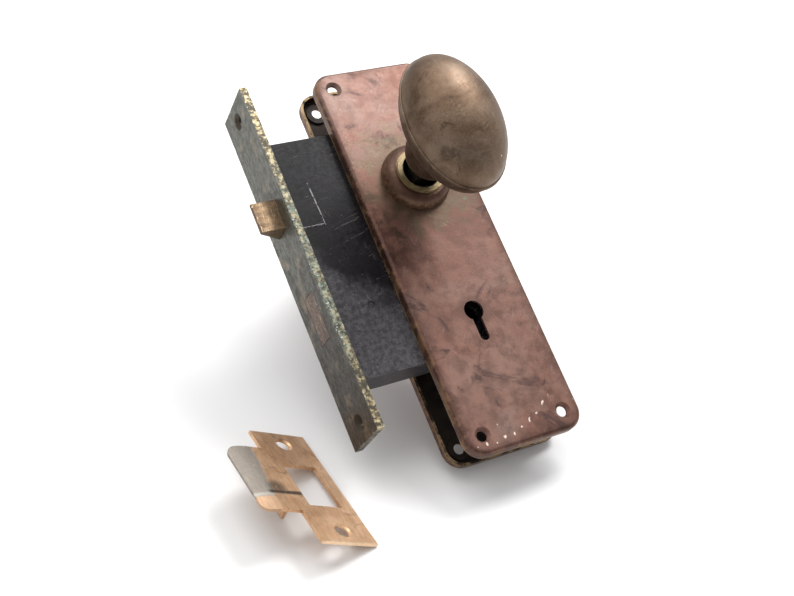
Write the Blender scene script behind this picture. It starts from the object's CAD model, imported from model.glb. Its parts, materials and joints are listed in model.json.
"""Looks of an old mortise lock set: finishes, small details, floor, lights and camera.

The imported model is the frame. Every size here is in metres, in that frame: +Z up the faceplate, -X out
of the door's edge, -Y towards the front knob. Shader patterns work in millimetres.
"""

import json
import logging
import math
from dataclasses import dataclass
from enum import Enum
from typing import Optional, Sequence, Union

import bpy
from mathutils import Matrix, Vector


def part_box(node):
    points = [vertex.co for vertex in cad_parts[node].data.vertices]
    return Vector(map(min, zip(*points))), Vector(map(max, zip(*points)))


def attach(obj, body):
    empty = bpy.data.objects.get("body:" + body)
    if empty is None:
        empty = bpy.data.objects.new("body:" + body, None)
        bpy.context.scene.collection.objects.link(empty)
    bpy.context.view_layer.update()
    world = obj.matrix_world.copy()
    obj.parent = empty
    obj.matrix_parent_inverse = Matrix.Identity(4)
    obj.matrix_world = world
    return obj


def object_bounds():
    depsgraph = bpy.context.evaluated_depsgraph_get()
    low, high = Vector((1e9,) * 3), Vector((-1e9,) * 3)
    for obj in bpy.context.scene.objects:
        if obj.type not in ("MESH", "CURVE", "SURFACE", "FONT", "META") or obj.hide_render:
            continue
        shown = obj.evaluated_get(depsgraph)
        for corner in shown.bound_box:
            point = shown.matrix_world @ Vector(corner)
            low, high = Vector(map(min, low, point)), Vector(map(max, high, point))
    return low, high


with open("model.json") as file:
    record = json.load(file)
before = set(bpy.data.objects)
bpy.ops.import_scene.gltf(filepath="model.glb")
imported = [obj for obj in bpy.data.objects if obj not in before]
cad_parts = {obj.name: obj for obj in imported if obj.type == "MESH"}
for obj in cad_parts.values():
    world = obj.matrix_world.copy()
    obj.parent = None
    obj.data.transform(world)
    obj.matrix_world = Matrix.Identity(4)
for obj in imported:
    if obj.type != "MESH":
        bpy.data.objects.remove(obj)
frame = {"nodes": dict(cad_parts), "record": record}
CAD_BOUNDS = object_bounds()
LOG = logging.getLogger("mortise_lock")

MM = 0.001
BUMP_STRENGTH = 0.35
BUMP_DEPTH = 0.00012
SOLID_VIEW_COLOUR = (0.4, 0.3, 0.25, 1.0)
KEYHOLE_DROP = 66.0
Colour = tuple[float, float, float]
Socket = bpy.types.NodeSocket
Value = Union[float, int, tuple, Socket]


class Side(Enum):
    """Which face of the door a trim or a knob belongs to."""

    FRONT = -1
    REAR = 1

    @property
    def label(self) -> str:
        """Name that the CAD nodes of this side start with."""
        return self.name.lower()


class Metal(Enum):
    """How strongly a finish reflects as bare metal."""

    LACQUER = 0.0
    PATINA = 0.62
    WORN = 0.85
    BARE = 1.0


# ---- Node trees ----


class Graph:
    """Short-hand for building one node tree."""

    def __init__(self, tree: bpy.types.NodeTree) -> None:
        """Work on a tree.

        Args:
            tree: The material's or the group's tree.
        """
        self.tree = tree

    def node(self, kind: str, inputs: Optional[dict] = None, **settings: object) -> bpy.types.Node:
        """Add a node.

        Args:
            kind: The node's type name.
            inputs: Values or sockets for its inputs, by name or by index.
            settings: Properties of the node.

        Returns:
            The new node.
        """
        made = self.tree.nodes.new(kind)
        for name, setting in settings.items():
            setattr(made, name, setting)
        for name, value in (inputs or {}).items():
            self.feed(made.inputs[name], value)
        return made

    def feed(self, socket: Socket, value: Value) -> None:
        """Give an input a value, or link it.

        Args:
            socket: The input.
            value: A number, a colour or vector, or another node's output.
        """
        if isinstance(value, bpy.types.NodeSocket):
            self.tree.links.new(value, socket)
        elif isinstance(value, tuple) and socket.type == "RGBA":
            socket.default_value = (*value[:3], 1.0)
        else:
            socket.default_value = value

    def math(self, operation: str, first: Value, second: Value = 0.0, clamp: bool = False) -> Socket:
        """Result of one arithmetic step.

        Args:
            operation: Blender's name of the step.
            first: First number.
            second: Second number.
            clamp: Keep the result from 0 to 1.

        Returns:
            The result.
        """
        made = self.node("ShaderNodeMath", {0: first, 1: second}, operation=operation, use_clamp=clamp)
        return made.outputs[0]

    def times(self, *factors: Value) -> Socket:
        """Product of several masks, kept from 0 to 1.

        Args:
            factors: The masks.

        Returns:
            The product.
        """
        result = factors[0]
        for factor in factors[1:]:
            result = self.math("MULTIPLY", result, factor, clamp=True)
        return result

    def level(self, value: Value, low: Value, high: Value, start: float = 0.0, end: float = 1.0) -> Socket:
        """Map a stretch of a value to another stretch, smoothly and with limits.

        Args:
            value: The value.
            low: Where the stretch starts.
            high: Where it ends.
            start: Result at low.
            end: Result at high.

        Returns:
            The mapped value.
        """
        made = self.node(
            "ShaderNodeMapRange",
            {"Value": value, "From Min": low, "From Max": high, "To Min": start, "To Max": end},
            interpolation_type="SMOOTHSTEP",
        )
        return made.outputs["Result"]

    def fall(self, value: Value, low: Value, high: Value) -> Socket:
        """Map a stretch of a value from 1 down to 0, smoothly and with limits."""
        return self.math("SUBTRACT", 1.0, self.level(value, low, high))

    def gap(self, first: Value, second: Value) -> Socket:
        """How far apart two numbers are."""
        return self.math("ABSOLUTE", self.math("SUBTRACT", first, second))

    def mix(self, factor: Value, first: Value, second: Value, blend: str = "MIX") -> Socket:
        """Mix two colours.

        Args:
            factor: Share of the second.
            first: First colour.
            second: Second colour.
            blend: Blend mode.

        Returns:
            The mixed colour.
        """
        made = self.node(
            "ShaderNodeMix", {0: factor, 6: first, 7: second},
            data_type="RGBA", blend_type=blend, clamp_factor=True,
        )
        return made.outputs[2]

    def shade(self, factor: float, colour: Value, light: Socket) -> Socket:
        """Multiply a colour by an even grey, by a share."""
        return self.mix(factor, colour, self.join(light, light, light), "MULTIPLY")

    def ramp(self, factor: Value, stops: Sequence[tuple[float, Colour]]) -> Socket:
        """Colour along a ramp.

        Args:
            factor: Place along the ramp.
            stops: Places and colours, from low to high.

        Returns:
            The colour.
        """
        made = self.node("ShaderNodeValToRGB", {"Fac": factor})
        elements = made.color_ramp.elements
        while len(elements) < len(stops):
            elements.new(1.0)
        for element, (place, colour) in zip(elements, stops):
            element.position = place
            element.color = (*colour, 1.0)
        return made.outputs["Color"]

    def noise(self, vector: Value, scale: Value, detail: float = 4.0, roughness: float = 0.55,
              distortion: float = 0.0) -> Socket:
        """Cloudy noise, from 0 to 1.

        Args:
            vector: Where to read it.
            scale: How fine it is.
            detail: Number of finer layers.
            roughness: Strength of the finer layers.
            distortion: How much it is swirled.

        Returns:
            The noise.
        """
        made = self.node(
            "ShaderNodeTexNoise",
            {"Vector": vector, "Scale": scale, "Detail": detail, "Roughness": roughness,
             "Distortion": distortion},
        )
        return made.outputs["Fac"]

    def split(self, vector: Socket) -> tuple[Socket, Socket, Socket]:
        """The three parts of a vector."""
        made = self.node("ShaderNodeSeparateXYZ", {0: vector})
        return made.outputs[0], made.outputs[1], made.outputs[2]

    def join(self, x: Value, y: Value, z: Value) -> Socket:
        """A vector from three parts."""
        return self.node("ShaderNodeCombineXYZ", {0: x, 1: y, 2: z}).outputs[0]

    def distance(self, x: Value, z: Value, at: tuple[float, float]) -> Socket:
        """Distance from a point in a plane.

        Args:
            x: First coordinate.
            z: Second coordinate.
            at: The point.

        Returns:
            The distance.
        """
        dx = self.math("SUBTRACT", x, at[0])
        dz = self.math("SUBTRACT", z, at[1])
        made = self.node("ShaderNodeVectorMath", {0: self.join(dx, 0.0, dz)}, operation="LENGTH")
        return made.outputs["Value"]

    def call(self, group: bpy.types.NodeTree, **inputs: Value) -> bpy.types.Node:
        """Place a node group.

        Args:
            group: The group.
            inputs: Its inputs, by name, with _ for a space.

        Returns:
            The group's node.
        """
        made = self.node("ShaderNodeGroup", node_tree=group)
        for name, value in inputs.items():
            self.feed(made.inputs[name.replace("_", " ")], value)
        return made


def new_group(
    name: str, numbers: dict[str, float], outputs: Sequence[str]
) -> tuple[bpy.types.NodeTree, Graph, dict, bpy.types.Node]:
    """Start a shader node group that reads a vector and some numbers.

    Args:
        name: Name of the group.
        numbers: Its number inputs and their first values.
        outputs: Names of its number outputs.

    Returns:
        The group, its graph, its inputs by name, and its output node.
    """
    tree = bpy.data.node_groups.new(name, "ShaderNodeTree")
    tree.interface.new_socket("Vector", in_out="INPUT", socket_type="NodeSocketVector")
    for label, first in numbers.items():
        socket = tree.interface.new_socket(label, in_out="INPUT", socket_type="NodeSocketFloat")
        socket.default_value = first
    for label in outputs:
        tree.interface.new_socket(label, in_out="OUTPUT", socket_type="NodeSocketFloat")
    entry = tree.nodes.new("NodeGroupInput")
    leave = tree.nodes.new("NodeGroupOutput")
    return tree, Graph(tree), {socket.name: socket for socket in entry.outputs if socket.name}, leave


def new_material(name: str) -> tuple[bpy.types.Material, Graph]:
    """An empty material and its graph."""
    material = bpy.data.materials.new(name)
    material.use_nodes = True
    material.node_tree.nodes.clear()
    return material, Graph(material.node_tree)


def new_object(name: str, data: bpy.types.ID) -> bpy.types.Object:
    """An object in the scene, from its data."""
    made = bpy.data.objects.new(name, data)
    bpy.context.scene.collection.objects.link(made)
    return made


@dataclass(frozen=True)
class Effects:
    """The shader node groups that several finishes share."""

    mottle: bpy.types.NodeTree
    hairlines: bpy.types.NodeTree
    specks: bpy.types.NodeTree
    edge: bpy.types.NodeTree

    @classmethod
    def build(cls) -> "Effects":
        """Build all groups once."""
        return cls(cls._mottle(), cls._hairlines(), cls._specks(), cls._edge())

    @staticmethod
    def _mottle() -> bpy.types.NodeTree:
        """Uneven patina: broad clouds, fine mottling and dark blotches."""
        tree, g, inp, leave = new_group(
            "Mottle", {"Scale": 0.04, "Seed": 0.0}, ["Broad", "Fine", "Blotch"]
        )
        shifted = g.node(
            "ShaderNodeVectorMath", {0: inp["Vector"], 1: g.join(inp["Seed"], inp["Seed"], inp["Seed"])},
            operation="ADD",
        ).outputs[0]
        broad = g.noise(shifted, inp["Scale"], 5.0, 0.6, 0.6)
        fine = g.noise(shifted, g.math("MULTIPLY", inp["Scale"], 9.0), 6.0, 0.65)
        blotch = g.noise(shifted, g.math("MULTIPLY", inp["Scale"], 2.3), 7.0, 0.62, 1.2)
        g.feed(leave.inputs["Broad"], g.level(broad, 0.3, 0.7))
        g.feed(leave.inputs["Fine"], g.level(fine, 0.25, 0.75))
        g.feed(leave.inputs["Blotch"], g.level(blotch, 0.56, 0.68))
        return tree

    @staticmethod
    def _hairlines() -> bpy.types.NodeTree:
        """Thin scratches that run mostly one way, broken up along their length."""
        tree, g, inp, leave = new_group(
            "Hairlines", {"Angle": 0.0, "Spacing": 0.12, "Thin": 0.006, "Cover": 0.5}, ["Mask"]
        )
        turned = g.node(
            "ShaderNodeVectorRotate", {"Vector": inp["Vector"], "Angle": inp["Angle"]},
            rotation_type="Y_AXIS",
        ).outputs[0]
        x, y, z = g.split(turned)
        stretched = g.join(g.math("MULTIPLY", x, 0.06), y, z)
        wander = g.noise(stretched, inp["Spacing"], 2.0, 0.5)
        line = g.gap(wander, 0.5)
        thin = g.fall(line, 0.0, inp["Thin"])
        patch = g.noise(turned, 0.09, 3.0, 0.7)
        cover = g.level(patch, g.math("SUBTRACT", 1.0, inp["Cover"]), g.math("SUBTRACT", 1.1, inp["Cover"]))
        g.feed(leave.inputs["Mask"], g.times(thin, cover))
        return tree

    @staticmethod
    def _specks() -> bpy.types.NodeTree:
        """Scattered small specks of uneven size."""
        tree, g, inp, leave = new_group(
            "Specks", {"Scale": 0.5, "Size": 0.2, "Share": 0.3}, ["Mask"]
        )
        cells = g.node("ShaderNodeTexVoronoi", {"Vector": inp["Vector"], "Scale": inp["Scale"]})
        chance, _, size = g.split(cells.outputs["Color"])
        reach = g.math("MULTIPLY", inp["Size"], g.level(size, 0.0, 1.0, 0.35, 1.0))
        spot = g.fall(cells.outputs["Distance"], g.math("MULTIPLY", reach, 0.6), reach)
        kept = g.math("LESS_THAN", chance, inp["Share"])
        g.feed(leave.inputs["Mask"], g.times(spot, kept))
        return tree

    @staticmethod
    def _edge() -> bpy.types.NodeTree:
        """Band along the edge of a rounded rectangle in the XZ plane, with a ragged inner side."""
        tree, g, inp, leave = new_group(
            "RoundedEdge",
            {"Centre X": 0.0, "Centre Z": 0.0, "Half X": 10.0, "Half Z": 10.0, "Corner": 1.0,
             "Band": 2.0, "Ragged": 1.0},
            ["Mask"],
        )
        x, _, z = g.split(inp["Vector"])
        parts = []
        for place, centre, half in ((x, "Centre X", "Half X"), (z, "Centre Z", "Half Z")):
            reach = g.gap(place, inp[centre])
            core = g.math("SUBTRACT", inp[half], inp["Corner"])
            parts.append(g.math("SUBTRACT", reach, core))
        outside = g.join(
            g.math("MAXIMUM", parts[0], 0.0), g.math("MAXIMUM", parts[1], 0.0), 0.0
        )
        length = g.node("ShaderNodeVectorMath", {0: outside}, operation="LENGTH").outputs["Value"]
        inside = g.math("MINIMUM", g.math("MAXIMUM", parts[0], parts[1]), 0.0)
        depth = g.math("SUBTRACT", inp["Corner"], g.math("ADD", length, inside))
        waver = g.math("SUBTRACT", g.noise(inp["Vector"], 0.35, 5.0, 0.7), 0.5)
        rag = g.math("MULTIPLY", waver, inp["Ragged"])
        mask = g.fall(g.math("ADD", depth, rag), 0.0, inp["Band"])
        g.feed(leave.inputs["Mask"], mask)
        return tree


# ---- Finishes ----


@dataclass(frozen=True)
class Finish:
    """A finish: a name, how metallic it is, and a tree that its own class draws."""

    name: str
    metal: Metal = Metal.PATINA
    effects: Optional[Effects] = None
    gloss: float = 0.5

    def draw(self, g: Graph, here: Socket) -> tuple[Value, Value, Value]:
        """Colour, roughness and height of the surface.

        Args:
            g: The material's graph.
            here: Place on the surface, in millimetres.

        Returns:
            The three values.
        """
        raise NotImplementedError

    def patina(self, g: Graph, where: Socket, scale: float, seed: float) -> tuple[Socket, ...]:
        """Broad clouds, fine mottling and dark blotches of an uneven patina."""
        made = g.call(self.effects.mottle, Vector=where, Scale=scale, Seed=seed)
        return tuple(made.outputs[name] for name in ("Broad", "Fine", "Blotch"))

    def lines(
        self, g: Graph, where: Socket, angle: float, spacing: float, thin: float, cover: float
    ) -> Socket:
        """Mask of scratches that run at an angle and cover a share of the surface."""
        made = g.call(
            self.effects.hairlines, Vector=where, Angle=angle, Spacing=spacing, Thin=thin, Cover=cover
        )
        return made.outputs["Mask"]

    def crossed(self, g: Graph, where: Socket, first: tuple, second: tuple) -> Socket:
        """Mask of two sets of scratches: angle, spacing, width and cover of each."""
        return g.math("MAXIMUM", self.lines(g, where, *first), self.lines(g, where, *second))

    def spots(self, g: Graph, where: Socket, scale: float, size: float, share: float) -> Socket:
        """Mask of scattered specks; a share of the cells has one."""
        made = g.call(self.effects.specks, Vector=where, Scale=scale, Size=size, Share=share)
        return made.outputs["Mask"]

    def build(self) -> bpy.types.Material:
        """Make the material.

        Returns:
            The material.
        """
        material, g = new_material(self.name)
        place = g.node("ShaderNodeTexCoord").outputs["Object"]
        here = g.node("ShaderNodeVectorMath", {0: place, 3: 1.0 / MM}, operation="SCALE").outputs[0]
        colour, roughness, height = self.draw(g, here)
        bump = g.node(
            "ShaderNodeBump", {"Strength": BUMP_STRENGTH, "Distance": BUMP_DEPTH, "Height": height}
        )
        shader = g.node(
            "ShaderNodeBsdfPrincipled",
            {"Base Color": colour, "Roughness": roughness, "Metallic": self.metal.value,
             "Normal": bump.outputs[0], "Specular IOR Level": self.gloss},
        )
        g.node("ShaderNodeOutputMaterial", {"Surface": shader.outputs[0]})
        material.diffuse_color = SOLID_VIEW_COLOUR
        return material


@dataclass(frozen=True)
class TrimPatina(Finish):
    """Reddish brown patina of a pressed trim, rubbed along its bends, dark on the inside."""

    side: Side = Side.FRONT
    centre: tuple[float, float] = (63.5, -11.0)
    half: tuple[float, float] = (28.5, 93.2)
    corner: float = 8.5
    rim: float = 8.05
    spindle: tuple[float, float] = (63.5, 23.0)
    keyhole: tuple[float, float] = (63.5, -43.0)
    dings: tuple[float, float] = (39.0, 80.0)
    ding_step: float = 4.6
    ding_arc: tuple[float, float] = (47.0, -99.7)
    ding_bend: float = 0.0107

    def draw(self, g: Graph, here: Socket) -> tuple[Value, Value, Value]:
        """Mottled brown with olive round the collar, dark blotches, rubbed edges and scratches."""
        x, y, z = g.split(here)
        broad, fine, blotch = self.patina(g, here, 0.022, self.side.value * 31.0)
        clouds, _, _ = self.patina(g, here, 0.011, 7.0 + self.side.value)
        colour = g.ramp(
            broad,
            [(0.0, (0.095, 0.042, 0.030)), (0.4, (0.170, 0.078, 0.056)), (0.7, (0.195, 0.104, 0.080)),
             (1.0, (0.200, 0.128, 0.106))],
        )
        colour = g.mix(g.times(clouds, 0.45), colour, (0.205, 0.125, 0.102))
        colour = g.shade(0.8, colour, g.level(fine, 0.0, 1.0, 0.72, 1.22))
        colour = g.mix(g.times(blotch, 0.7), colour, (0.040, 0.022, 0.022))
        ring = g.distance(x, z, self.spindle)
        ragged = g.math("ADD", ring, g.level(fine, 0.0, 1.0, -7.0, 7.0))
        olive = g.fall(ragged, 17.0, 33.0)
        colour = g.mix(g.times(olive, 0.6), colour, (0.100, 0.080, 0.046))
        green = self.spots(g, here, 0.16, 0.42, 0.35)
        colour = g.mix(g.times(olive, green, 0.5), colour, (0.10, 0.17, 0.12))
        key_ring = g.fall(g.distance(x, z, self.keyhole), 4.6, 9.0)
        colour = g.mix(g.times(key_ring, fine, 0.8), colour, (0.035, 0.022, 0.020))

        band = dict(Vector=here, Centre_X=self.centre[0], Centre_Z=self.centre[1],
                    Half_X=self.half[0], Half_Z=self.half[1], Corner=self.corner)
        soft = g.call(self.effects.edge, Band=5.5, Ragged=6.0, **band).outputs["Mask"]
        colour = g.mix(g.times(soft, 0.6), colour, (0.055, 0.022, 0.014))
        sharp = g.call(self.effects.edge, Band=1.5, Ragged=1.6, **band).outputs["Mask"]
        rub = g.level(fine, 0.35, 0.8)
        colour = g.mix(g.times(sharp, rub, 0.55), colour, (0.33, 0.19, 0.10))

        scratch = self.crossed(g, here, (0.9, 0.55, 0.010, 0.52), (2.3, 0.35, 0.006, 0.47))
        colour = g.mix(g.times(scratch, 0.22), colour, (0.34, 0.24, 0.20))
        nicks = self.spots(g, here, 0.10, 0.055, 0.4)
        colour = g.mix(g.times(nicks, 0.8), colour, (0.55, 0.42, 0.36))
        if self.side is Side.FRONT:
            colour = g.mix(self._tool_marks(g, x, z, fine), colour, (0.75, 0.62, 0.55))

        inner = self._inside(g)
        dark = g.mix(g.times(fine, 0.6), (0.012, 0.009, 0.008), (0.055, 0.036, 0.026))
        colour = g.mix(inner, colour, dark)
        depth = g.math("MULTIPLY", y, float(self.side.value))
        lip = g.fall(depth, self.rim + 0.25, self.rim + 1.0)
        worn = g.level(g.noise(here, 0.12, 5.0, 0.7), 0.42, 0.6)
        colour = g.mix(g.times(lip, worn, 0.85), colour, (0.42, 0.29, 0.15))
        roughness = g.level(fine, 0.0, 1.0, 0.34, 0.56)
        roughness = g.math("ADD", roughness, g.math("MULTIPLY", inner, 0.2))
        height = g.math("ADD", fine, g.math("MULTIPLY", scratch, -0.7))
        return colour, roughness, height

    def _tool_marks(self, g: Graph, x: Socket, z: Socket, fine: Socket) -> Socket:
        """Row of small bright dings along a shallow arc near the lower edge.

        Args:
            g: The graph.
            x: Place across the plate.
            z: Place along the plate.
            fine: Mottling that makes the dings uneven.

        Returns:
            Mask of the dings.
        """
        first, last = self.dings
        lowest_x, lowest_z = self.ding_arc
        bend = g.math("POWER", g.math("SUBTRACT", x, lowest_x), 2.0)
        arc = g.math("ADD", g.math("MULTIPLY", bend, self.ding_bend), lowest_z)
        drift = g.level(fine, 0.0, 1.0, -1.1, 1.1)
        off = g.math("ADD", g.math("SUBTRACT", z, arc), drift)
        cell = g.math("PINGPONG", g.math("SUBTRACT", x, first), self.ding_step / 2)
        aside = g.math("ADD", cell, g.math("MULTIPLY", drift, 0.3))
        spot = g.node(
            "ShaderNodeVectorMath", {0: g.join(aside, 0.0, off)}, operation="LENGTH"
        ).outputs["Value"]
        dot = g.fall(spot, 0.35, 0.75)
        span = g.times(g.math("GREATER_THAN", x, first), g.math("LESS_THAN", x, last))
        return g.times(dot, span)

    def _inside(self, g: Graph) -> Socket:
        """Mask of the faces that look towards the door."""
        normal = g.node("ShaderNodeNewGeometry").outputs["True Normal"]
        turned = g.node(
            "ShaderNodeVectorTransform", {0: normal}, convert_from="WORLD", convert_to="OBJECT"
        )
        _, y, _ = g.split(turned.outputs[0])
        return g.level(g.math("MULTIPLY", y, float(-self.side.value)), 0.3, 0.6)


@dataclass(frozen=True)
class CollarPatina(Finish):
    """Turned collar: brown dome and a ring that hands have rubbed to brass."""

    centre: tuple[float, float] = (63.5, 23.0)
    ring_radius: float = 10.8
    bore_radius: float = 8.4

    def draw(self, g: Graph, here: Socket) -> tuple[Value, Value, Value]:
        """Brown dome, olive brass ring, dark bore."""
        x, _, z = g.split(here)
        broad, fine, blotch = self.patina(g, here, 0.06, 3.0)
        away = g.distance(x, z, self.centre)
        colour = g.mix(broad, (0.052, 0.022, 0.013), (0.100, 0.050, 0.030))
        colour = g.mix(g.times(blotch, 0.5), colour, (0.05, 0.03, 0.022))
        ring = g.fall(away, self.ring_radius, self.ring_radius + 0.5)
        brass = g.mix(fine, (0.20, 0.15, 0.075), (0.34, 0.26, 0.14))
        colour = g.mix(ring, colour, brass)
        foot = g.level(away, 14.2, 15.8)
        colour = g.mix(g.times(foot, fine, 0.8), colour, (0.25, 0.155, 0.09))
        bore = g.fall(away, self.bore_radius + 0.05, self.bore_radius + 0.45)
        colour = g.mix(bore, colour, (0.02, 0.014, 0.010))
        turned = g.math("SINE", g.math("MULTIPLY", away, 9.0))
        height = g.math("ADD", g.math("MULTIPLY", turned, 0.15), fine)
        return colour, g.level(fine, 0.0, 1.0, 0.30, 0.50), height


@dataclass(frozen=True)
class KnobPatina(Finish):
    """Olive brown knob, smooth from hands, with small bright nicks."""

    metal: Metal = Metal.WORN

    def draw(self, g: Graph, here: Socket) -> tuple[Value, Value, Value]:
        """Soft clouds of brown, darker blotches, hairlines and brass nicks."""
        broad, fine, blotch = self.patina(g, here, 0.035, 12.0)
        _, grain, _ = self.patina(g, here, 0.12, 5.0)
        colour = g.ramp(
            broad,
            [(0.0, (0.080, 0.046, 0.028)), (0.5, (0.150, 0.098, 0.064)), (1.0, (0.215, 0.155, 0.112))],
        )
        shade = g.level(grain, 0.0, 1.0, 0.75, 1.15)
        colour = g.shade(0.8, colour, shade)
        colour = g.mix(g.times(blotch, 0.6), colour, (0.045, 0.028, 0.020))
        scratch = self.crossed(g, here, (0.5, 0.6, 0.012, 0.5), (1.7, 0.8, 0.010, 0.48))
        colour = g.mix(g.times(scratch, 0.35), colour, (0.36, 0.27, 0.18))
        nicks = self.spots(g, here, 0.13, 0.06, 0.35)
        colour = g.mix(g.times(nicks, 0.85), colour, (0.80, 0.62, 0.36))
        roughness = g.level(grain, 0.0, 1.0, 0.40, 0.56)
        height = g.math("ADD", g.math("MULTIPLY", fine, 0.6), g.math("MULTIPLY", scratch, -0.6))
        return colour, roughness, height


@dataclass(frozen=True)
class FaceplatePatina(Finish):
    """Grey-green face, browner downwards, with bright arrises and flaking verdigris on one edge."""

    half_width: float = 14.3
    half_height: float = 81.0
    screw_height: float = 73.0
    sink_radius: float = 5.0
    screw_radius: float = 3.6

    def draw(self, g: Graph, here: Socket) -> tuple[Value, Value, Value]:
        """Face, arrises, side faces and flakes."""
        x, y, z = g.split(here)
        broad, fine, blotch = self.patina(g, here, 0.05, 21.0)
        streaked = g.join(x, y, g.math("MULTIPLY", z, 0.15))
        streaks = g.noise(streaked, 0.6, 4.0, 0.6)
        fall = g.level(g.math("ADD", z, g.level(broad, 0.0, 1.0, -30.0, 30.0)), -60.0, 40.0)
        colour = g.mix(fall, (0.046, 0.040, 0.032), (0.092, 0.093, 0.077))
        shade = g.level(streaks, 0.3, 0.7, 0.70, 1.25)
        colour = g.shade(0.9, colour, shade)
        colour = g.mix(g.times(blotch, 0.6), colour, (0.055, 0.048, 0.040))
        tan = g.level(g.noise(here, 0.09, 4.0, 0.6), 0.54, 0.66)
        colour = g.mix(g.times(tan, 0.5), colour, (0.24, 0.18, 0.12))

        bore = g.distance(y, g.math("ABSOLUTE", z), (0.0, self.screw_height))
        side_face = g.times(g.level(x, 0.02, 0.25), g.level(bore, self.sink_radius, self.sink_radius + 1.0))
        worn = g.level(g.noise(here, 0.35, 5.0, 0.7), 0.47, 0.60)
        ends = g.level(g.math("ABSOLUTE", z), 30.0, 78.0, 0.35, 1.0)
        brass = g.mix(g.times(worn, ends), (0.060, 0.052, 0.038), (0.50, 0.40, 0.20))
        colour = g.mix(side_face, colour, brass)
        across = g.math("SUBTRACT", self.half_width, g.math("ABSOLUTE", y))
        along = g.math("SUBTRACT", self.half_height, g.math("ABSOLUTE", z))
        near = g.math("MINIMUM", across, along)
        ragged = g.math("ADD", near, g.level(fine, 0.0, 1.0, -0.5, 0.9))
        arris = g.fall(ragged, 0.1, 0.7)
        colour = g.mix(g.times(arris, worn, 0.75), colour, (0.46, 0.40, 0.27))

        flake = g.level(g.noise(here, 0.55, 6.0, 0.75), 0.46, 0.58)
        front_edge = g.fall(g.math("ADD", y, self.half_width), 0.5, 3.2)
        height_band = g.times(g.level(z, -62.0, -30.0), g.fall(z, 12.0, 45.0))
        crust = g.times(flake, front_edge, height_band)
        colour = g.mix(g.times(crust, 0.55), colour, (0.45, 0.54, 0.46))
        rust = g.times(g.level(g.noise(here, 0.3, 4.0, 0.7), 0.55, 0.68), side_face)
        colour = g.mix(g.times(rust, 0.8), colour, (0.16, 0.11, 0.06))
        lines = self.lines(g, g.join(z, x, y), 0.1, 0.7, 0.012, 0.55)
        colour = g.mix(g.times(lines, 0.35), colour, (0.50, 0.44, 0.33))
        hole = g.times(g.fall(bore, self.screw_radius, self.screw_radius + 0.8), g.level(x, 0.0, 0.4))
        colour = g.mix(g.times(hole, 0.8), colour, (0.050, 0.036, 0.022))
        roughness = g.math("ADD", g.level(fine, 0.0, 1.0, 0.36, 0.58), g.math("MULTIPLY", crust, 0.3))
        height = g.math("ADD", fine, g.math("MULTIPLY", crust, 2.5))
        return colour, roughness, height


@dataclass(frozen=True)
class VerdigrisFlake(Finish):
    """Pale green and white crust."""

    metal: Metal = Metal.LACQUER

    def draw(self, g: Graph, here: Socket) -> tuple[Value, Value, Value]:
        """Chalky green, some of it white, some brown."""
        broad, fine, blotch = self.patina(g, here, 0.3, 6.0)
        colour = g.mix(broad, (0.30, 0.42, 0.34), (0.72, 0.74, 0.66))
        colour = g.mix(g.times(blotch, 0.7), colour, (0.20, 0.15, 0.09))
        return colour, g.level(fine, 0.0, 1.0, 0.7, 0.95), fine


@dataclass(frozen=True)
class BoltBrass(Finish):
    """Brass of a bolt: bright where it rubs, dark and streaked at the nose."""

    metal: Metal = Metal.WORN
    base: Colour = (0.33, 0.22, 0.13)
    dark: Colour = (0.085, 0.055, 0.038)
    nose: tuple[float, float] = (-11.5, -7.0)

    def draw(self, g: Graph, here: Socket) -> tuple[Value, Value, Value]:
        """Tan brass with streaks along the bolt and a dark nose."""
        x, y, z = g.split(here)
        _, fine, blotch = self.patina(g, here, 0.09, 9.0)
        streaked = g.join(g.math("MULTIPLY", x, 0.25), y, z)
        streaks = g.noise(streaked, 0.55, 4.0, 0.55)
        colour = g.mix(g.level(streaks, 0.2, 0.7, 0.25, 1.0), self.dark, self.base)
        colour = g.mix(g.times(blotch, 0.5), colour, self.dark)
        worn = g.fall(g.math("ADD", x, g.level(streaks, 0.0, 1.0, -2.0, 2.0)), *self.nose)
        colour = g.mix(g.times(worn, 0.7), colour, self.dark)
        lines = self.lines(g, here, 1.5, 1.1, 0.02, 0.6)
        colour = g.mix(g.times(lines, 0.6), colour, (0.78, 0.62, 0.40))
        nicks = self.spots(g, here, 0.35, 0.12, 0.3)
        colour = g.mix(nicks, colour, (0.85, 0.72, 0.50))
        return colour, g.level(fine, 0.0, 1.0, 0.26, 0.48), streaks


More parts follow.
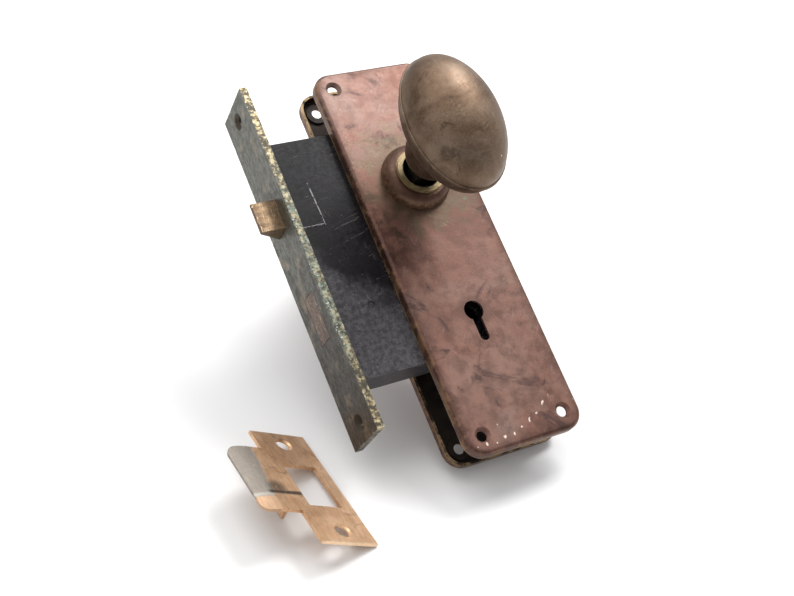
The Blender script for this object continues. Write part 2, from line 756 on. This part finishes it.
@dataclass(frozen=True)
class CaseBlack(Finish):
    """Black japanned casting: purple-black, scratched, dusty and speckled low down."""

    metal: Metal = Metal.LACQUER
    gloss: float = 0.16
    pad_edge: float = 16.4
    pad_span: tuple[float, float] = (12.8, 33.2)

    def draw(self, g: Graph, here: Socket) -> tuple[Value, Value, Value]:
        """Black lacquer under dust, with bright scratches and a cast grain."""
        x, y, z = g.split(here)
        broad, fine, _ = self.patina(g, here, 0.05, 17.0)
        colour = g.mix(broad, (0.0035, 0.0030, 0.0042), (0.010, 0.0078, 0.0105))
        slope = g.math("ADD", g.math("ADD", x, z), g.level(broad, 0.0, 1.0, -5.0, 5.0))
        veil = g.fall(slope, -6.0, 10.0)
        film = g.level(fine, 0.0, 1.0, 0.35, 1.0)
        colour = g.mix(g.times(veil, film, 0.8), colour, (0.115, 0.108, 0.116))
        dust = self.spots(g, here, 0.9, 0.22, 0.28)
        low = g.fall(z, -30.0, 5.0)
        colour = g.mix(g.times(dust, g.math("ADD", low, 0.12), 0.75), colour, (0.24, 0.22, 0.22))
        smear = g.level(g.noise(g.join(x, y, g.math("MULTIPLY", z, 0.3)), 0.25, 5.0, 0.7), 0.58, 0.74)
        colour = g.mix(g.times(smear, low, 0.4), colour, (0.13, 0.12, 0.122))
        scratch = self.crossed(g, here, (0.25, 0.35, 0.007, 0.52), (1.75, 0.28, 0.006, 0.5))
        colour = g.mix(g.times(scratch, 0.22), colour, (0.30, 0.27, 0.26))
        colour = g.mix(g.times(self._pad_wear(g, x, z, fine), 0.8), colour, (0.36, 0.34, 0.35))
        roughness = g.level(fine, 0.0, 1.0, 0.28, 0.52)
        grain = g.noise(here, 1.6, 4.0, 0.6)
        height = g.math("ADD", grain, g.math("MULTIPLY", scratch, -0.8))
        return colour, roughness, height

    def _pad_wear(self, g: Graph, x: Socket, z: Socket, fine: Socket) -> Socket:
        """Bright rubbed lines along the free edges of the raised pad over the latch.

        Args:
            g: The graph.
            x: Depth into the case.
            z: Height.
            fine: Mottling that breaks the lines up.

        Returns:
            Mask of the lines.
        """
        low, high = self.pad_span
        upright = g.gap(x, g.level(z, low, high, self.pad_edge, self.pad_edge - 0.7))
        level = g.gap(z, low)
        within = g.times(g.math("GREATER_THAN", z, low), g.math("LESS_THAN", z, high))
        before = g.math("LESS_THAN", x, self.pad_edge + 0.4)
        lines = g.math(
            "MAXIMUM",
            g.times(g.fall(upright, 0.15, 0.4), within),
            g.times(g.fall(level, 0.15, 0.45), before),
        )
        return g.times(lines, g.level(fine, 0.15, 0.55))


@dataclass(frozen=True)
class DarkSteel(Finish):
    """Oxidised steel of the spindle, posts, pins and screws."""

    metal: Metal = Metal.WORN
    base: Colour = (0.070, 0.055, 0.045)

    def draw(self, g: Graph, here: Socket) -> tuple[Value, Value, Value]:
        """Dark brown-black with rubbed streaks."""
        broad, fine, blotch = self.patina(g, here, 0.2, 2.0)
        colour = g.mix(broad, (0.022, 0.018, 0.016), self.base)
        colour = g.mix(g.times(blotch, 0.6), colour, (0.14, 0.085, 0.05))
        return colour, g.level(fine, 0.0, 1.0, 0.35, 0.6), fine


@dataclass(frozen=True)
class InnerBrass(Finish):
    """Cast brass of the works inside, lightly oiled."""

    metal: Metal = Metal.BARE

    def draw(self, g: Graph, here: Socket) -> tuple[Value, Value, Value]:
        """Warm brass with tarnish."""
        broad, fine, blotch = self.patina(g, here, 0.12, 14.0)
        colour = g.mix(broad, (0.38, 0.26, 0.11), (0.62, 0.46, 0.22))
        colour = g.mix(g.times(blotch, 0.6), colour, (0.14, 0.09, 0.04))
        return colour, g.level(fine, 0.0, 1.0, 0.28, 0.5), fine


@dataclass(frozen=True)
class SpringSteel(Finish):
    """Bright drawn wire."""

    metal: Metal = Metal.BARE

    def draw(self, g: Graph, here: Socket) -> tuple[Value, Value, Value]:
        """Grey steel with a drawn grain."""
        _, fine, _ = self.patina(g, here, 0.3, 4.0)
        colour = g.mix(fine, (0.24, 0.22, 0.20), (0.50, 0.48, 0.45))
        return colour, g.level(fine, 0.0, 1.0, 0.25, 0.4), fine


@dataclass(frozen=True)
class StrikeCopper(Finish):
    """Copper-tan plate whose bent lip is rubbed to silvery grey, with a copper patch."""

    metal: Metal = Metal.WORN
    centre: tuple[float, float, float] = (0.0, 0.0, 0.0)
    turn: tuple[float, float, float] = (0.0, 0.0, 0.0)
    bend_reach: float = 21.5
    slant: float = 0.128
    patch_top: float = -8.5
    streak_at: float = -5.8

    def draw(self, g: Graph, here: Socket) -> tuple[Value, Value, Value]:
        """Plate, bend and lip, in the strike's own directions."""
        own = g.node(
            "ShaderNodeMapping", {"Vector": here, "Location": self.centre, "Rotation": self.turn},
            vector_type="TEXTURE",
        ).outputs[0]
        x, y, z = g.split(own)
        broad, fine, blotch = self.patina(g, own, 0.06, 40.0)
        brushed = g.noise(g.join(x, g.math("MULTIPLY", y, 0.1), z), 1.2, 4.0, 0.6)
        colour = g.mix(broad, (0.58, 0.335, 0.180), (0.76, 0.490, 0.300))
        shade = g.level(brushed, 0.3, 0.7, 0.86, 1.12)
        colour = g.shade(0.9, colour, shade)
        colour = g.mix(g.times(blotch, 0.45), colour, (0.22, 0.115, 0.065))
        drift = g.level(fine, 0.0, 1.0, -0.6, 0.6)
        bend = g.math("ADD", g.math("SUBTRACT", x, g.math("MULTIPLY", y, self.slant)), drift)
        lip = g.fall(bend, -self.bend_reach - 1.6, -self.bend_reach + 0.6)
        silver = g.mix(brushed, (0.24, 0.21, 0.18), (0.36, 0.32, 0.28))
        ragged = g.math("ADD", y, g.math("MULTIPLY", drift, 0.5))
        above = g.level(ragged, self.patch_top - 0.2, self.patch_top + 0.2)
        colour = g.mix(g.times(lip, g.level(above, 0.0, 1.0, 0.35, 1.0)), colour, silver)
        glint = g.fall(g.gap(y, self.patch_top + 1.2), 0.4, 1.4)
        colour = g.mix(g.times(glint, lip, 0.7), colour, (0.48, 0.45, 0.40))
        streak = g.fall(g.gap(y, self.streak_at), 0.4, 1.7)
        span = g.times(g.level(x, -26.0, -23.5), g.fall(x, -9.5, -7.5))
        blob = g.fall(g.distance(x, y, (-19.5, self.streak_at + 3.0)), 1.5, 6.5)
        over = g.level(y, self.streak_at - 1.0, self.streak_at)
        soot = g.math("MAXIMUM", g.times(streak, span), g.times(blob, over, 0.75))
        colour = g.mix(g.times(soot, 0.9), colour, (0.030, 0.022, 0.020))
        ends = g.level(g.math("ABSOLUTE", y), 33.0, 34.3)
        colour = g.mix(g.times(ends, brushed, 0.8), colour, (0.85, 0.68, 0.48))
        lines = self.lines(g, g.join(x, z, y), 1.2, 0.5, 0.010, 0.55)
        colour = g.mix(g.times(lines, 0.4), colour, (0.80, 0.66, 0.52))
        specks = self.spots(g, own, 0.4, 0.14, 0.25)
        colour = g.mix(g.times(specks, 0.6), colour, (0.20, 0.11, 0.07))
        roughness = g.math("ADD", g.level(fine, 0.0, 1.0, 0.32, 0.48), g.times(lip, 0.2))
        return colour, roughness, brushed


def dress(finish: Finish, *nodes: str) -> None:
    """Give CAD nodes a finish.

    Args:
        finish: The finish.
        nodes: Names of the CAD nodes.
    """
    material = finish.build()
    for name in nodes:
        mesh = frame["nodes"][name].data
        mesh.materials.clear()
        mesh.materials.append(material)
        LOG.info("%s: %s", name, finish.name)


# ---- Sub-assemblies ----


def middle_of(node: str) -> Vector:
    """Middle of a CAD node's box, in millimetres."""
    low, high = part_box(node)
    return (low + high) / 2 / MM


def half_of(node: str) -> Vector:
    """Half sizes of a CAD node's box, in millimetres."""
    low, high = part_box(node)
    return (high - low) / 2 / MM


@dataclass
class LockCase:
    """Case, cover, faceplate and what fastens them."""

    effects: Effects

    def dress(self) -> None:
        """Finish the case and the faceplate."""
        half = half_of("faceplate")
        face = FaceplatePatina(
            "faceplate_patina", effects=self.effects, half_width=half.y, half_height=half.z,
        )
        dress(face, "faceplate", "faceplate_rivets")
        dress(CaseBlack("case_black", effects=self.effects), "case", "case_cover", "lever_post")
        dress(DarkSteel("dark_steel", effects=self.effects), "cover_screws", "bolt_guide_post")
        dress(SpringSteel("spring_steel", effects=self.effects), "latch_spring", "lever_spring")


@dataclass
class FlakeCrust:
    """Small verdigris and lime flakes that cling to the faceplate's near arris."""

    effects: Effects
    low: float = -0.044
    high: float = 0.026
    wide: float = 0.0013
    size: float = 0.00038
    density: float = 1.1e6
    seed: int = 7

    def strip(self) -> bpy.types.Object:
        """Make the narrow strip that the flakes lie on.

        Returns:
            The strip, on the outer face and the side face of the faceplate's near arris.
        """
        start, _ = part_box("faceplate")
        rows = ((start.x, start.y + self.wide), (start.x, start.y), (start.x + self.wide, start.y))
        points = [(x, y, z) for z in (self.low, self.high) for x, y in rows]
        mesh = bpy.data.meshes.new("verdigris_flakes")
        mesh.from_pydata(points, [], [(0, 3, 4, 1), (1, 4, 5, 2)])
        return new_object("verdigris_strip", mesh)

    @staticmethod
    def tree() -> bpy.types.NodeTree:
        """Geometry nodes that scatter flattened grains over a mesh.

        Returns:
            The tree.
        """
        tree = bpy.data.node_groups.new("ScatterFlakes", "GeometryNodeTree")
        face = tree.interface
        face.new_socket("Geometry", in_out="INPUT", socket_type="NodeSocketGeometry")
        for label in ("Density", "Size"):
            face.new_socket(label, in_out="INPUT", socket_type="NodeSocketFloat")
        face.new_socket("Seed", in_out="INPUT", socket_type="NodeSocketInt")
        face.new_socket("Material", in_out="INPUT", socket_type="NodeSocketMaterial")
        face.new_socket("Geometry", in_out="OUTPUT", socket_type="NodeSocketGeometry")
        g = Graph(tree)
        entry = tree.nodes.new("NodeGroupInput").outputs
        patches = g.noise(g.node("GeometryNodeInputPosition").outputs[0], 90.0, 3.0)
        density = g.math("MULTIPLY", entry["Density"], g.level(patches, 0.48, 0.62))
        points = g.node(
            "GeometryNodeDistributePointsOnFaces",
            {"Mesh": entry["Geometry"], "Density": density, "Seed": entry["Seed"]},
        )
        grain = g.node("GeometryNodeMeshIcoSphere", {"Radius": 1.0, "Subdivisions": 1})
        scale = g.node(
            "FunctionNodeRandomValue",
            {0: (0.5, 0.5, 0.12), 1: (1.6, 1.2, 0.35), "Seed": entry["Seed"]}, data_type="FLOAT_VECTOR",
        )
        sized = g.node("ShaderNodeVectorMath", {0: scale.outputs[0], 3: entry["Size"]}, operation="SCALE")
        placed = g.node(
            "GeometryNodeInstanceOnPoints",
            {"Points": points.outputs["Points"], "Instance": grain.outputs["Mesh"],
             "Rotation": points.outputs["Rotation"], "Scale": sized.outputs[0]},
        )
        real = g.node("GeometryNodeRealizeInstances", {0: placed.outputs[0]})
        dressed = g.node(
            "GeometryNodeSetMaterial", {"Geometry": real.outputs[0], "Material": entry["Material"]}
        )
        leave = tree.nodes.new("NodeGroupOutput")
        g.feed(leave.inputs[0], dressed.outputs[0])
        return tree

    def build(self) -> bpy.types.Object:
        """Scatter the flakes and turn them into one plain mesh.

        Returns:
            The flakes.
        """
        strip = self.strip()
        tree = self.tree()
        modifier = strip.modifiers.new("flakes", "NODES")
        modifier.node_group = tree
        settings = {
            "Density": self.density, "Size": self.size, "Seed": self.seed,
            "Material": VerdigrisFlake("verdigris_flake", effects=self.effects).build(),
        }
        for socket in tree.interface.items_tree:
            if socket.in_out == "INPUT" and socket.name in settings:
                modifier[socket.identifier] = settings[socket.name]
        depsgraph = bpy.context.evaluated_depsgraph_get()
        mesh = bpy.data.meshes.new_from_object(strip.evaluated_get(depsgraph))
        flakes = new_object("verdigris_flakes", mesh)
        bpy.data.objects.remove(strip)
        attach(flakes, "lock_case")
        LOG.info("verdigris_flakes: %d faces", len(mesh.polygons))
        return flakes


@dataclass
class Bolts:
    """Latch bolt, dead bolt and the works behind them."""

    effects: Effects

    def dress(self) -> None:
        """Finish both bolts and the works inside."""
        dress(BoltBrass("latch_brass", effects=self.effects), "latch_bolt")
        head = BoltBrass(
            "bolt_brass", effects=self.effects, base=(0.100, 0.058, 0.041), dark=(0.056, 0.036, 0.029),
            nose=(-40.0, -30.0),
        )
        dress(head, "bolt_head")
        dress(InnerBrass("inner_brass", effects=self.effects), "latch_tail", "bolt_tail", "tumbler_lever")
        dress(DarkSteel("pin_steel", effects=self.effects), "latch_rivets", "bolt_rivets")


@dataclass
class KnobSet:
    """Spindle, hub and the two knobs."""

    effects: Effects

    def dress(self) -> None:
        """Finish the knobs and the bar between them."""
        parts = ("front_shell", "back_shell", "shank")
        names = [f"{side.label}_knob_{part}" for side in Side for part in parts]
        dress(KnobPatina("knob_patina", effects=self.effects), *names)
        screws = [f"{side.label}_knob_set_screw" for side in Side]
        dress(DarkSteel("spindle_steel", effects=self.effects), "spindle", "hub", *screws)


@dataclass
class Trim:
    """One pressed trim and its collar."""

    effects: Effects
    side: Side

    def dress(self) -> None:
        """Finish the plate and the collar."""
        plate = f"{self.side.label}_plate"
        collar = f"{self.side.label}_collar"
        middle, half = middle_of(plate), half_of(plate)
        hub = middle_of(collar)
        low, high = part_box(plate)
        rim = min(abs(low.y), abs(high.y)) / MM
        patina = TrimPatina(
            f"{self.side.label}_trim_patina", effects=self.effects, side=self.side,
            centre=(middle.x, middle.z), half=(half.x, half.z), rim=rim,
            spindle=(hub.x, hub.z), keyhole=(hub.x, hub.z - KEYHOLE_DROP),
        )
        dress(patina, plate)
        dress(
            CollarPatina(f"{self.side.label}_collar_patina", effects=self.effects, centre=(hub.x, hub.z)),
            collar,
        )


@dataclass
class Strike:
    """The loose strike."""

    effects: Effects
    bench: "Bench"
    tilt: float = math.radians(30.3)

    def dress(self) -> None:
        """Finish the strike in its own directions."""
        turn = self.bench.turn() @ Matrix.Rotation(self.tilt, 3, "Y")
        mounts = {mount["name"]: mount for mount in frame["record"]["mounts"]}
        screws = [Vector(mounts[f"strike_screw_{end}"]["pos_m"]) for end in ("upper", "lower")]
        centre = (screws[0] + screws[1]) / 2 / MM
        finish = StrikeCopper(
            "strike_copper", effects=self.effects, centre=tuple(centre), turn=tuple(turn.to_euler()),
        )
        dress(finish, "strike_plate")


# ---- Floor, lights and camera ----


@dataclass
class Bench:
    """Pale surface that the loose set lies on; seen from its upper side only."""

    pitch: float = math.radians(30.0)
    roll: float = math.radians(3.5)
    reach: float = 6.0
    air: float = 0.0002
    paper: Colour = (0.86, 0.86, 0.86)

    def turn(self) -> Matrix:
        """Directions of the surface: along, across and up, as columns."""
        return Matrix.Rotation(math.pi / 2 - self.pitch, 3, "X") @ Matrix.Rotation(-self.roll, 3, "Y")

    def height(self) -> float:
        """Height of the surface along its own normal, just under the lowest point of the set."""
        up = self.turn().col[2]
        nodes = frame["nodes"].values()
        return min(up.dot(v.co) for node in nodes for v in node.data.vertices) - self.air

    def build(self) -> bpy.types.Object:
        """Make the surface.

        Returns:
            The floor.
        """
        turn, height = self.turn(), self.height()
        corners = [turn @ Vector((x * self.reach, y * self.reach, height))
                   for x, y in ((-1, -1), (1, -1), (1, 1), (-1, 1))]
        mesh = bpy.data.meshes.new("floor")
        mesh.from_pydata([tuple(c) for c in corners], [], [(0, 1, 2, 3)])
        floor = new_object("floor", mesh)
        material, g = new_material("floor_paper")
        paper = g.node("ShaderNodeBsdfDiffuse", {"Color": self.paper})
        clear = g.node("ShaderNodeBsdfTransparent")
        back = g.node("ShaderNodeNewGeometry").outputs["Backfacing"]
        mixed = g.node("ShaderNodeMixShader", {0: back, 1: paper.outputs[0], 2: clear.outputs[0]})
        g.node("ShaderNodeOutputMaterial", {"Surface": mixed.outputs[0]})
        mesh.materials.append(material)
        return floor


@dataclass
class Studio:
    """Soft light over the bench, and the camera."""

    bench: Bench
    centre: Vector
    camera_place: tuple[float, float, float] = (-0.2115, -0.4692, -0.1913)
    heading: float = math.radians(28.06)
    rise: float = math.radians(17.40)
    roll: float = math.radians(-23.01)
    lens: float = 58.71
    sensor: float = 36.0
    bright_from: tuple[float, float, float] = (0.35, 0.55, 0.76)
    dim: float = 0.10
    bright: float = 1.05

    def world(self) -> None:
        """White surroundings for the camera; lighter above and dimmer at the sides for reflections."""
        world = bpy.data.worlds.new("studio")
        bpy.context.scene.world = world
        world.use_nodes = True
        tree = world.node_tree
        tree.nodes.clear()
        g = Graph(tree)
        direction = tree.nodes.new("ShaderNodeTexCoord").outputs["Generated"]
        towards = self.bench.turn() @ Vector(self.bright_from)
        height = g.node(
            "ShaderNodeVectorMath", {0: direction, 1: tuple(towards)}, operation="DOT_PRODUCT"
        ).outputs["Value"]
        tent = g.level(height, -0.55, 0.95, self.dim, self.bright)
        seen = g.node("ShaderNodeLightPath").outputs["Is Camera Ray"]
        strength = g.math("MAXIMUM", tent, seen)
        sky = g.node("ShaderNodeBackground", {"Color": (1.0, 1.0, 1.0), "Strength": strength})
        g.node("ShaderNodeOutputWorld", {"Surface": sky.outputs[0]})

    def lamp(self, name: str, place: tuple[float, float, float], size: float, watts: float) -> None:
        """Add one square soft light that looks at the middle of the set.

        Args:
            name: Name of the light.
            place: Place over the bench: along, across and up, from the middle of the set.
            size: Side of the light.
            watts: Its power.
        """
        data = bpy.data.lights.new(name, "AREA")
        data.size = size
        data.energy = watts
        lamp = new_object(name, data)
        offset = self.bench.turn() @ Vector(place)
        lamp.location = self.centre + offset
        lamp.rotation_euler = offset.to_track_quat("Z", "Y").to_euler()

    def camera(self) -> None:
        """Place the camera by its heading from +Y towards +X, its rise and its roll."""
        data = bpy.data.cameras.new("camera")
        data.lens = self.lens
        data.sensor_width = self.sensor
        camera = new_object("camera", data)
        camera.location = self.camera_place
        level = Matrix.Rotation(-self.heading, 3, "Z")
        level = level @ Matrix.Rotation(math.pi / 2 + self.rise, 3, "X")
        camera.rotation_euler = (level @ Matrix.Rotation(self.roll, 3, "Z")).to_euler()
        bpy.context.scene.camera = camera

    def build(self) -> None:
        """Set up surroundings, lights and camera."""
        bpy.context.scene.view_settings.view_transform = "Standard"
        self.world()
        self.lamp("key", (0.70, 0.32, 1.00), 0.55, 12.5)
        self.lamp("top", (-0.15, 0.35, 1.0), 0.7, 4.0)
        self.lamp("fill", (-0.9, -0.3, 0.7), 0.8, 2.0)
        self.camera()


def main() -> None:
    """Build the looks and report each piece."""
    logging.basicConfig(level=logging.INFO, format="%(name)s %(message)s")
    effects = Effects.build()
    bench = Bench()
    LockCase(effects).dress()
    FlakeCrust(effects).build()
    Bolts(effects).dress()
    KnobSet(effects).dress()
    for side in Side:
        Trim(effects, side).dress()
    Strike(effects, bench).dress()
    bench.build()
    low, high = (Vector(corner) for corner in CAD_BOUNDS)
    Studio(bench, (low + high) / 2).build()


if __name__ == "__main__":
    main()
